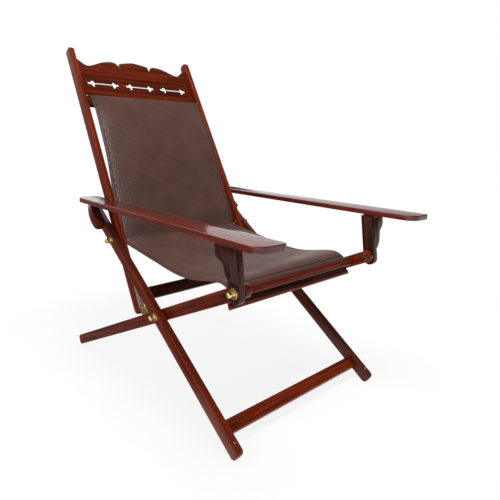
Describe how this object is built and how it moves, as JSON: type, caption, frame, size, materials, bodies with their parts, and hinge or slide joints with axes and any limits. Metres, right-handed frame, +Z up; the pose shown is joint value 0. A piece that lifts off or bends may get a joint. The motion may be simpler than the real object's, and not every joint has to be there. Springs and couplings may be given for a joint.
{
  "type": "folding chair",
  "caption": "Folding veranda chair: crossed hardwood frame, reclined back with a fretted crest board, long flat arms on posts, brass pivots and a slung leather seat.",
  "frame": {"origin": "on the floor, under the middle of the chair's width and whole depth", "axes": "+Z up, the sitter faces -Y, +X to the sitter's left"},
  "size_m": [0.6346, 1.0084, 1.0188],
  "materials": {
    "rosewood": "polished dark red-brown hardwood",
    "rosewood_arm": "glossy polished dark red-brown hardwood",
    "rosewood_carved": "polished carved red-brown hardwood",
    "brass": "worn polished brass",
    "leather": "satin brown leather"
  },
  "bodies": {
    "arm_left": {"arm_left": "rosewood_arm", "leg_hinge_upper_leaf_left": "brass", "post_hinge_upper_leaf_left": "brass"},
    "arm_right": {"arm_right": "rosewood_arm", "leg_hinge_upper_leaf_right": "brass", "post_hinge_upper_leaf_right": "brass"},
    "back_frame": {"back_lower_rail": "rosewood", "crest_rail": "rosewood_carved", "foot_plate_left": "brass", "foot_plate_right": "brass", "fret_panel": "rosewood_carved", "sling_rail": "rosewood", "stile_left": "rosewood", "stile_right": "rosewood"},
    "leg_frame": {"bolt_back_left": "brass", "bolt_back_right": "brass", "bolt_scissor_left": "brass", "bolt_scissor_right": "brass", "foot_screw_left": "brass", "foot_screw_right": "brass", "leather_sling": "leather", "leg_corbel_left": "rosewood_carved", "leg_corbel_right": "rosewood_carved", "leg_hinge_lower_leaf_left": "brass", "leg_hinge_lower_leaf_right": "brass", "leg_left": "rosewood", "leg_right": "rosewood", "leg_stretcher": "rosewood", "nut_back_left": "brass", "nut_back_right": "brass", "nut_scissor_left": "brass", "nut_scissor_right": "brass", "washer_back_left": "brass", "washer_back_right": "brass", "washer_scissor_left": "brass", "washer_scissor_right": "brass"},
    "seat_frame": {"bolt_post_left": "brass", "bolt_post_right": "brass", "foot_stop_left": "brass", "foot_stop_right": "brass", "front_batten": "rosewood", "front_rail": "rosewood", "nut_post_left": "brass", "nut_post_right": "brass", "side_rail_left": "rosewood", "side_rail_right": "rosewood", "washer_post_left": "brass", "washer_post_right": "brass"},
    "post_left": {"post_corbel_left": "rosewood_carved", "post_hinge_lower_leaf_left": "brass", "post_left": "rosewood"},
    "post_right": {"post_corbel_right": "rosewood_carved", "post_hinge_lower_leaf_right": "brass", "post_right": "rosewood"}
  },
  "joints": [
    {"name": "fold", "type": "hinge", "parent": "leg_frame", "child": "seat_frame", "pos_m": [0, -0.05448, 0.24061], "axis": [1, 0, 0], "range_deg": [0, 20], "deforming": ["leather_sling"]},
    {"name": "back_fold", "type": "hinge", "parent": "leg_frame", "child": "back_frame", "pos_m": [0, 0.17644, 0.41179], "axis": [1, 0, 0], "range_deg": [0, 128], "deforming": ["leather_sling"]},
    {"name": "arm_swing_left", "type": "hinge", "parent": "leg_frame", "child": "arm_left", "pos_m": [0.252, 0.28137, 0.51466], "axis": [1, 0, 0], "range_deg": [0, 10.32]},
    {"name": "post_swing_left", "type": "hinge", "parent": "arm_left", "child": "post_left", "pos_m": [0.252, -0.37893, 0.4841], "axis": [1, 0, 0], "range_deg": [-33.14, 0]},
    {"name": "arm_swing_right", "type": "hinge", "parent": "leg_frame", "child": "arm_right", "pos_m": [-0.252, 0.28137, 0.51466], "axis": [1, 0, 0], "range_deg": [0, 10.32]},
    {"name": "post_swing_right", "type": "hinge", "parent": "arm_right", "child": "post_right", "pos_m": [-0.252, -0.37893, 0.4841], "axis": [1, 0, 0], "range_deg": [-33.14, 0]}
  ],
  "couplings": [
    {"joint": "back_fold", "follows": "fold", "ratio": 6.4},
    {"joint": "arm_swing_left", "follows": "fold", "ratio": 0.5135},
    {"joint": "post_swing_left", "follows": "fold", "ratio": -1.652},
    {"joint": "arm_swing_right", "follows": "fold", "ratio": 0.5135},
    {"joint": "post_swing_right", "follows": "fold", "ratio": -1.652}
  ]
}
